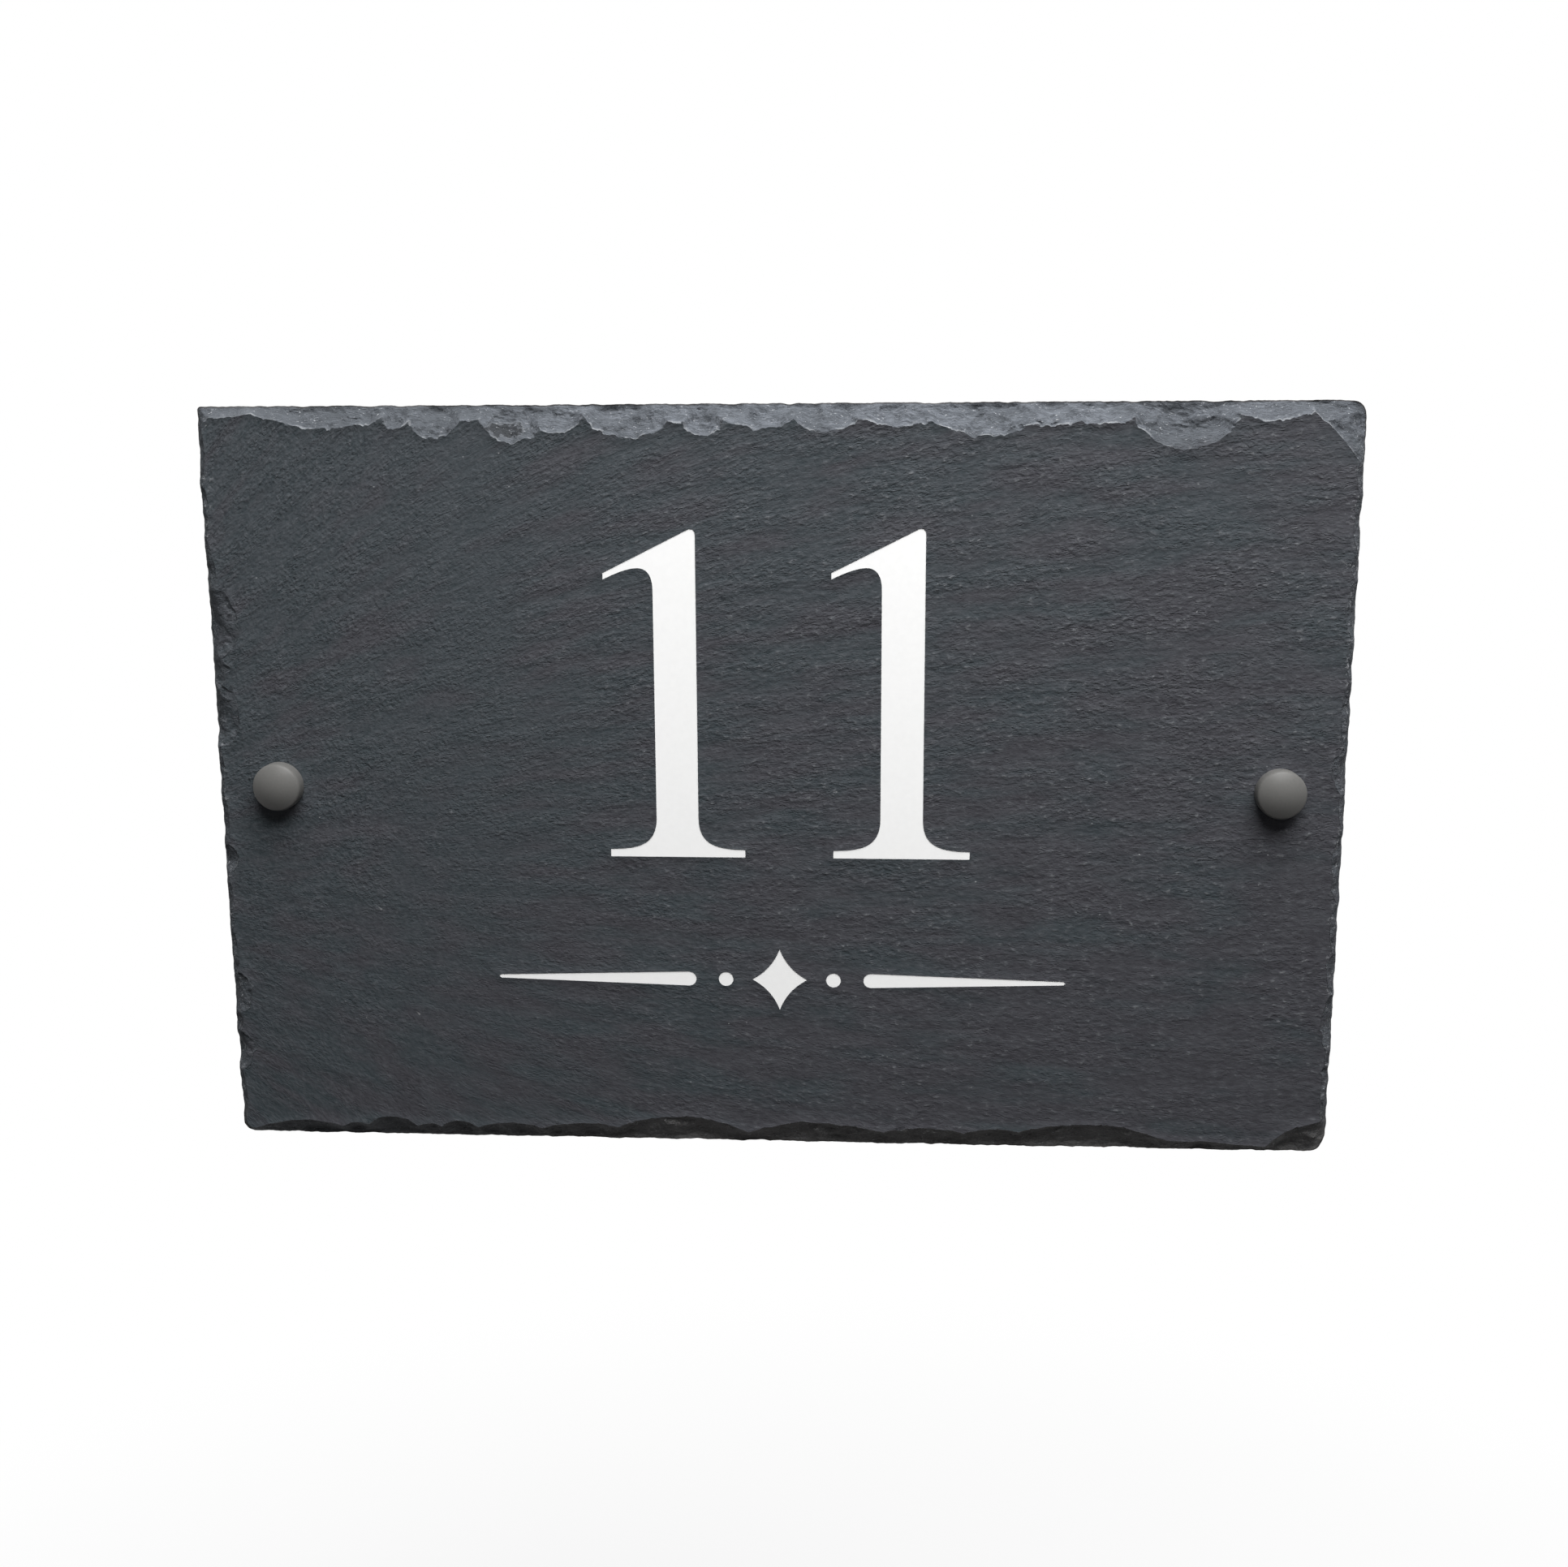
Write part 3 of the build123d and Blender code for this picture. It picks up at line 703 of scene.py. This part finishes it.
# Scars fall from the face to the edge strip, hollow along the top and foot, and blunt along the sides
bend = (cloud(vector(x * (1 / 13), 3.0, z * (1 / 13))) - 0.5) * 0.5
bent = (share_wire + bend * share_wire * (1 - share_wire) * 2).math("MAXIMUM", share_wire * 0.1)
hollow = bent ** sizes["Hollow"]
blunt = 1 - (1 - share_wire) ** sizes["Side Bluntness"]
land_here = land_h * (1 + (cloud(vector(x * (1 / 8), 9.0, z * (1 / 8)), 3.0) - 0.5) * 0.9)
rise = (hollow + (blunt - hollow) * at_sides) * (thickness - land_here)

# They break along thin layers in places, and into bowls, with a low step where they leave the face
shift = cloud(vector(x * (1 / 16), 6.0, z * (1 / 16)), 2.0) * 3.0
level = rise / sizes["Layer"] + shift
whole = level.math("FLOOR")
stepped = (whole + (level - whole).ramp(0.62, 1.0) - shift) * sizes["Layer"]
layered = cloud(vector(x * (1 / 7), 14.0, z * (1 / 7)), 2.0).ramp(0.46, 0.6)
terraced = rise + (stepped - rise) * (sizes["Terrace"] * middle * layered)
large = scoops(x, z, SCOOP_SIZE, SCOOP_LEVEL) * sizes["Scoop Depth"]
small = scoops(x, z, 2.4, 40.0) * sizes["Chip Depth"]
rough = (cloud(vector(x * (1 / 1.3), 2.0, z * (1 / 1.3)), 3.0) - 0.5) * 0.3
softened = 1 - at_sides * 0.65
rim_step = cloud(vector(x * (1 / 6), 11.0, z * (1 / 6)), 2.0).ramp(0.38, 0.66) * sizes["Rim Step"]
rim_drop = past.ramp(0.0, 0.5) * rim_step * from_edge.ramp(0.3, 2.0)
scar_depth = land_here + terraced + ((large + small) * softened + rough) * middle - rim_drop
scar_depth = scar_depth.math("MINIMUM", thickness)

# The face itself swells and dips a little along the grain
ridges = streaks(x, z, 22.0, 2.6, 15.0)
waves = cloud(vector(x * (1 / 60), 5.0, z * (1 / 40)), 2.0)
dip = (ridges + waves * 0.8) * sizes["Riven Depth"] * attribute("calm") * (1 - past.ramp(-1.5, 0.0))

back_dip = cloud(vector(x * (1 / 18), 12.0, z * (1 / 9)), 4.0, 0.55).ramp(0.35, 0.75) * sizes["Back Relief"]
depth = front * (scar_depth - dip) + (1 - front) * (land * land_here + back_dip * (1 - land.ramp(0.0, 0.1)))
moved = (depth * -1 - y) * (1 - attribute("fixed")) * MM
dent = (cloud(vector(x * (1 / 3), y * 1.0 + land * 4, z * (1 / 3)), 3.0) * sizes["Edge Break"]) * MM
dents = relief_node("ShaderNodeVectorMath", {"operation": "SCALE"},
                    {0: attribute("inward", "FLOAT_VECTOR"), "Scale": dent})
sunk = vector(0 * moved, moved, 0.0)
offset = relief_node("ShaderNodeVectorMath", {"operation": "ADD"}, {0: dents, 1: sunk})
riven = relief_node("GeometryNodeSetPosition", (), {"Geometry": sizes["Geometry"], "Offset": offset})
riven = relief_node("GeometryNodeRealizeInstances", (), {"Geometry": riven})
slate_finish = slate_material()
riven = relief_node("GeometryNodeSetMaterial", (), {"Geometry": riven, "Material": slate_finish})
relief_node("NodeGroupOutput", (), {"Geometry": riven})

slate = bpy.data.objects.new("slate_slab", slate_mesh)
bpy.context.scene.collection.objects.link(slate)
slate.data = grown(slate, relief, RELIEF_SIZES)
slate.data.shade_smooth()
slate.data.set_sharp_from_angle(angle=SHARP_CREASE)
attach(slate, "root")
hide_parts("slate_plaque")


# Painted figures and ornament
# White enamel flooded into the engraving and wiped level just under the face.

def plain_material(name, colours, speckle, roughness, bump_mm, speckle_mm, specular=0.5, metallic=0.0):
    """A finish with two near shades in soft speckles of the given size, and a matching fine relief."""
    material = bpy.data.materials.new(name)
    material.use_nodes = True
    tree = material.node_tree
    tree.nodes.clear()
    x, y, z = parts(Wire.node(tree, "ShaderNodeTexCoord")["Object"])
    spread = 1 / speckle_mm
    spots = cloud(vector(x * spread, y * spread, z * spread), 3.0, 0.6)
    colour = Wire.node(tree, "ShaderNodeMix", {"data_type": "RGBA"}, {
        "Factor": spots.ramp(0.5 - speckle, 0.5 + speckle), "A": (*colours[0], 1), "B": (*colours[1], 1)})
    bump = Wire.node(tree, "ShaderNodeBump", (), {
        "Strength": 1.0, "Distance": MM, "Height": spots * bump_mm})
    surface = Wire.node(tree, "ShaderNodeBsdfPrincipled", (), {
        "Base Color": colour, "Roughness": roughness + (spots - 0.5) * 0.2, "Normal": bump,
        "Specular IOR Level": specular, "Metallic": metallic})
    Wire.node(tree, "ShaderNodeOutputMaterial", (), {"Surface": surface})
    return material


def dress(nodes, material):
    """Gives the named CAD nodes a finish."""
    for name in nodes:
        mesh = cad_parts[name].data
        mesh.materials.clear()
        mesh.materials.append(material)


enamel = plain_material("white_enamel", ((0.90, 0.90, 0.895), (0.925, 0.925, 0.92)),
                        speckle=0.3, roughness=0.5, bump_mm=0.006, speckle_mm=1.5)
dress([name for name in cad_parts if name.startswith(("numeral", "ornament"))], enamel)


# Snap caps and their bases
# Moulded grey plastic: each base is a cup washer under the screw head, and the cap snaps over its lip.
# The cap's face is a shallow dome with a rounded rim, and it stands on the slate.

CAP_DOME = 2.2          # rise of the dome, in millimetres
CAP_RIM_R = 1.3
CAP_FOOT_R = 0.2
CAP_WALL = 1.1
CAP_CROWN = 1.8         # at the middle
CAP_CORNER = 0.7        # bevel between wall and crown, inside
CAP_BEAD = 0.4          # the bead that catches under the base's lip stands in this far
CAP_BEAD_TOP, CAP_BEAD_FOOT = 2.35, 1.75
TURN_STEPS = 96


def arc(centre, radius, first, last, steps):
    """Points of an arc as radius and height, with its angles measured from straight up."""
    angles = np.linspace(first, last, steps)
    return [(centre[0] + radius * sin(a), centre[1] + radius * cos(a)) for a in angles]


def cap_profile(outer_r, height):
    """Half section of the cap from the middle of its dome, over the rim and foot, to its hollow's roof."""
    dome_r = (outer_r ** 2 + CAP_DOME ** 2) / (2 * CAP_DOME)
    dome_foot = height - dome_r
    rim_x = outer_r - CAP_RIM_R
    rim_z = dome_foot + sqrt((dome_r - CAP_RIM_R) ** 2 - rim_x ** 2)
    meeting = asin(rim_x / (dome_r - CAP_RIM_R))
    inner_r, roof = outer_r - CAP_WALL, height - CAP_CROWN
    foot = (outer_r - CAP_FOOT_R, CAP_FOOT_R)
    bead_r = inner_r - CAP_BEAD
    bead = [(inner_r, CAP_BEAD_FOOT), (bead_r, CAP_BEAD_FOOT),
            (bead_r, CAP_BEAD_TOP), (inner_r, CAP_BEAD_TOP)]
    return (arc((0, dome_foot), dome_r, 0, meeting, 16)
            + arc((rim_x, rim_z), CAP_RIM_R, meeting, pi / 2, 12)[1:]
            + arc(foot, CAP_FOOT_R, pi / 2, pi, 5)
            + [(inner_r, 0)] + bead
            + [(inner_r, roof - CAP_CORNER), (inner_r - CAP_CORNER, roof), (0, roof)])


def turning_tree(name, material):
    """A Geometry Nodes tree that turns a half section about a line along Y, at the X and Z given."""
    tree, inputs = geometry_tree(name, {"Axis X": 0.0, "Axis Z": 0.0, "Steps": TURN_STEPS})

    def node(kind, settings=(), values=()):
        return Wire.node(tree, kind, settings, values)

    rows = node("GeometryNodeAttributeDomainSize", (), {"Geometry": inputs["Geometry"]})["Point Count"]
    grid = node("GeometryNodeMeshGrid", (), {"Vertices X": inputs["Steps"] + 1, "Vertices Y": rows})
    index = node("GeometryNodeInputIndex")
    column = (index / rows).math("FLOOR")
    section = node("GeometryNodeSampleIndex", {"data_type": "FLOAT_VECTOR"}, {
        "Geometry": inputs["Geometry"], "Value": node("GeometryNodeInputPosition"),
        "Index": index - column * rows})
    centre = vector(inputs["Axis X"] * MM, 0.0, inputs["Axis Z"] * MM)
    turned = node("ShaderNodeVectorRotate", {"rotation_type": "Y_AXIS"}, {
        "Vector": section, "Center": centre, "Angle": column * tau / inputs["Steps"]})
    shell = node("GeometryNodeSetPosition", (), {"Geometry": grid["Mesh"], "Position": turned})
    shell = node("GeometryNodeMergeByDistance", (), {"Geometry": shell, "Distance": 0.0005 * MM})
    shell = node("GeometryNodeRealizeInstances", (), {"Geometry": shell})
    shell = node("GeometryNodeSetMaterial", (), {"Geometry": shell, "Material": material})
    node("NodeGroupOutput", (), {"Geometry": shell})
    return tree


def smoothed(mesh):
    """Turns every face of a closed mesh outwards, and smooths it except at its creases."""
    shell = bmesh.new()
    shell.from_mesh(mesh)
    bmesh.ops.recalc_face_normals(shell, faces=shell.faces)
    shell.to_mesh(mesh)
    shell.free()
    mesh.shade_smooth()
    mesh.set_sharp_from_angle(angle=SHARP_CREASE)
    return mesh


cap_plastic = plain_material("grey_plastic", ((0.101, 0.100, 0.096), (0.110, 0.108, 0.104)),
                             speckle=0.25, roughness=0.40, bump_mm=0.004, speckle_mm=0.6, specular=0.16)
cap_turning = turning_tree("turned_cap", cap_plastic)
for side in ("left", "right"):
    low, high = (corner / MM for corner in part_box("cap_" + side))
    middle_x, middle_z = (low.x + high.x) / 2, (low.z + high.z) / 2
    section = cap_profile((high.x - low.x) / 2, high.y - low.y)
    corners = [(middle_x + r, high.y - h, middle_z) for r, h in section]
    mesh = bpy.data.meshes.new("cap_section")
    mesh.from_pydata([Vector(c) * MM for c in corners], [(k, k + 1) for k in range(len(corners) - 1)], [])
    cap = bpy.data.objects.new("cap_shell_" + side, mesh)
    bpy.context.scene.collection.objects.link(cap)
    turning = {"Axis X": middle_x, "Axis Z": middle_z, "Steps": TURN_STEPS}
    cap.data = smoothed(grown(cap, cap_turning, turning))
    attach(cap, "root")
    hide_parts("cap_" + side)

dress(["cap_base_left", "cap_base_right"], cap_plastic)


# Wood screws
# Zinc-plated countersunk steel wood screws. A coarse thread is rolled on the part behind the slab.

THREAD_TOP = 0.4        # behind the slab, in millimetres
THREAD_INSET = 0.3      # the thread's core starts this far inside the plain shank
THREAD_SIZES = {
    "Core Radius": 1.3,
    "Crest Radius": 2.0,
    "Pitch": 1.8,
    "Crest Width": 0.6,
    "Run In": 1.2,
    "Tip Length": 4.0,
}
THREAD_STEPS = 36
ROWS_PER_PITCH = 14


def thread_tree(name, material):
    """A Geometry Nodes tree that adds a tapering thread along Y to a shank."""
    ends = {"Axis X": 0.0, "Axis Z": 0.0, "Start": 0.0, "End": 1.0, "Rows": 2}
    tree, inputs = geometry_tree(name, {**THREAD_SIZES, **ends})

    def node(kind, settings=(), values=()):
        return Wire.node(tree, kind, settings, values)

    rows = inputs["Rows"]
    grid = node("GeometryNodeMeshGrid", (), {"Vertices X": THREAD_STEPS + 1, "Vertices Y": rows})
    index = node("GeometryNodeInputIndex")
    column = (index / rows).math("FLOOR")
    row = index - column * rows
    station = inputs["Start"] + row / (rows - 1) * (inputs["End"] - inputs["Start"])
    turn = column / THREAD_STEPS
    phase = (station / inputs["Pitch"] + turn + 100).math("FRACT")
    off_crest = (phase - 0.5).math("ABSOLUTE") * 2
    ridge = (1 - off_crest / inputs["Crest Width"]).math("MAXIMUM", 0.0)
    ridge = ridge * ((station - inputs["Start"]) / inputs["Run In"]).math("MINIMUM", 1.0)
    taper = ((inputs["End"] - station) / inputs["Tip Length"]).math("MINIMUM", 1.0)
    radius = inputs["Core Radius"] + ridge * (inputs["Crest Radius"] - inputs["Core Radius"])
    radius = radius * taper * row.math("MINIMUM", 1.0)
    angle = turn * tau
    place = vector((inputs["Axis X"] + radius * angle.math("COSINE")) * MM, station * MM,
                   (inputs["Axis Z"] + radius * angle.math("SINE")) * MM)
    thread = node("GeometryNodeSetPosition", (), {"Geometry": grid["Mesh"], "Position": place})
    thread = node("GeometryNodeMergeByDistance", (), {"Geometry": thread, "Distance": 0.0005 * MM})
    joined = tree.nodes.new("GeometryNodeJoinGeometry")
    tree.links.new(inputs["Geometry"].socket, joined.inputs[0])
    tree.links.new(thread.socket, joined.inputs[0])
    whole = node("GeometryNodeRealizeInstances", (), {"Geometry": Wire(joined.outputs[0])})
    whole = node("GeometryNodeSetMaterial", (), {"Geometry": whole, "Material": material})
    node("NodeGroupOutput", (), {"Geometry": whole})
    return tree


def plain_shank(node):
    """The screw's head and shank alone, closed off where its thread begins."""
    shank = merged_copy(node)
    limit = (THREAD_TOP - 0.01) * MM
    threaded = [f for f in shank.faces if all(v.co.y > limit for v in f.verts)]
    bmesh.ops.delete(shank, geom=threaded, context="FACES")
    bmesh.ops.holes_fill(shank, edges=[e for e in shank.edges if e.is_boundary])
    mesh = bpy.data.meshes.new("screw_shank")
    shank.to_mesh(mesh)
    shank.free()
    return mesh


screw_steel = plain_material("zinc_steel", ((0.50, 0.49, 0.46), (0.64, 0.62, 0.57)),
                             speckle=0.2, roughness=0.34, bump_mm=0.01, speckle_mm=0.7, metallic=1.0)
thread = thread_tree("wood_screw_thread", screw_steel)
for side in ("left", "right"):
    low, high = (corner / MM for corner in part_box("screw_" + side))
    start = THREAD_TOP - THREAD_INSET
    rows = round((high.y - start) / THREAD_SIZES["Pitch"] * ROWS_PER_PITCH)
    places = {"Axis X": (low.x + high.x) / 2, "Axis Z": (low.z + high.z) / 2,
              "Start": start, "End": high.y, "Rows": rows}
    screw = bpy.data.objects.new("threaded_screw_" + side, plain_shank(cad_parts["screw_" + side]))
    bpy.context.scene.collection.objects.link(screw)
    screw.data = smoothed(grown(screw, thread, {**THREAD_SIZES, **places}))
    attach(screw, "root")
    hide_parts("screw_" + side)


# Camera
# It stands a little right of the middle and looks slightly down, as the photograph was taken.

CAMERA_PLACE = Vector((30.33, -449.39, 86.5)) * MM
CAMERA_YAW = radians(-3.488)
CAMERA_PITCH = radians(10.811)
CAMERA_ROLL = radians(-0.233)
CAMERA_LENS = 39.30
CAMERA_SENSOR = 36.0

ahead = Vector((sin(CAMERA_YAW) * cos(CAMERA_PITCH), cos(CAMERA_YAW) * cos(CAMERA_PITCH),
                -sin(CAMERA_PITCH)))
level_right = Vector((cos(CAMERA_YAW), -sin(CAMERA_YAW), 0))
level_up = level_right.cross(ahead)
right = level_right * cos(CAMERA_ROLL) + level_up * sin(CAMERA_ROLL)
up = level_up * cos(CAMERA_ROLL) - level_right * sin(CAMERA_ROLL)
camera = bpy.data.objects.new("camera", bpy.data.cameras.new("camera"))
camera.data.lens = CAMERA_LENS
camera.data.sensor_width = CAMERA_SENSOR
camera.data.clip_start = 0.01
camera.matrix_world = Matrix.Translation(CAMERA_PLACE) @ Matrix((right, up, -ahead)).transposed().to_4x4()
bpy.context.scene.collection.objects.link(camera)
bpy.context.scene.camera = camera


# Floor and light
# A pale floor well below the slab, and a white surround. A soft light stands high in front of the slab,
# and a weaker one behind it.

FLOOR_DROP = 0.45
FLOOR_SPAN = 30.0
FLOOR_NEAR, FLOOR_FAR = 0.3, 0.8        # between these the floor fades into the white surround
FLOOR_GLOW = 0.5                        # and this much of it is white already under the slab


def seen_directly(tree):
    """1 where the camera, a mirror or a glass looks, and 0 for other light."""
    path = Wire.node(tree, "ShaderNodeLightPath")
    seen = path["Is Camera Ray"].math("MAXIMUM", path["Is Glossy Ray"])
    return seen.math("MAXIMUM", path["Is Transmission Ray"])


def floor_material():
    """Pale matt floor that keeps shadows, sends little light back up, and fades to white far off."""
    material = bpy.data.materials.new("pale_floor")
    material.use_nodes = True
    tree = material.node_tree
    tree.nodes.clear()
    colour = Wire.node(tree, "ShaderNodeMix", {"data_type": "RGBA"}, {
        "Factor": seen_directly(tree), "A": (0.12, 0.12, 0.12, 1), "B": (0.82, 0.82, 0.82, 1)})
    matt = Wire.node(tree, "ShaderNodeBsdfDiffuse", (), {"Color": colour})
    white = Wire.node(tree, "ShaderNodeEmission", (), {"Color": (1, 1, 1, 1), "Strength": 1.0})
    x, y, z = parts(Wire.node(tree, "ShaderNodeTexCoord")["Object"])
    distance = (x * x + y * y) ** 0.5 * MM
    far = (FLOOR_GLOW + distance.ramp(FLOOR_NEAR, FLOOR_FAR) * (1 - FLOOR_GLOW)) * seen_directly(tree)
    surface = Wire.node(tree, "ShaderNodeMixShader", (), {"Fac": far, 1: matt, 2: white})
    Wire.node(tree, "ShaderNodeOutputMaterial", (), {"Surface": surface})
    return material


floor_mesh = bpy.data.meshes.new("floor")
floor_z = slate_low.z * MM - FLOOR_DROP
span = FLOOR_SPAN / 2
floor_corners = ((-span, -span), (span, -span), (span, span), (-span, span))
floor_mesh.from_pydata([(x, y, floor_z) for x, y in floor_corners], [], [(0, 1, 2, 3)])
floor_mesh.materials.append(floor_material())
floor = bpy.data.objects.new("floor", floor_mesh)
bpy.context.scene.collection.objects.link(floor)

AMBIENT = 0.07          # light that the white surround casts, as a share of how bright it looks
world = bpy.data.worlds.new("surround")
bpy.context.scene.world = world
world.use_nodes = True
world.node_tree.nodes.clear()
brightness = AMBIENT + seen_directly(world.node_tree) * (1 - AMBIENT)
surround = Wire.node(world.node_tree, "ShaderNodeBackground", (), {
    "Color": (1, 1, 1, 1), "Strength": brightness})
Wire.node(world.node_tree, "ShaderNodeOutputWorld", (), {"Surface": surround})


def soft_light(name, place, size, power):
    """A square area light that faces the middle of the slab."""
    lamp = bpy.data.lights.new(name, "AREA")
    lamp.size = size
    lamp.energy = power
    lamp_object = bpy.data.objects.new(name, lamp)
    lamp_object.location = place
    lamp_object.rotation_euler = (-Vector(place)).to_track_quat("-Z", "Y").to_euler()
    bpy.context.scene.collection.objects.link(lamp_object)


soft_light("key_light", place=(0.17, -0.36, 0.84), size=0.8, power=23.7)
soft_light("back_light", place=(-0.5, 0.9, 0.9), size=0.9, power=12.0)

bpy.context.scene.view_settings.view_transform = "Standard"
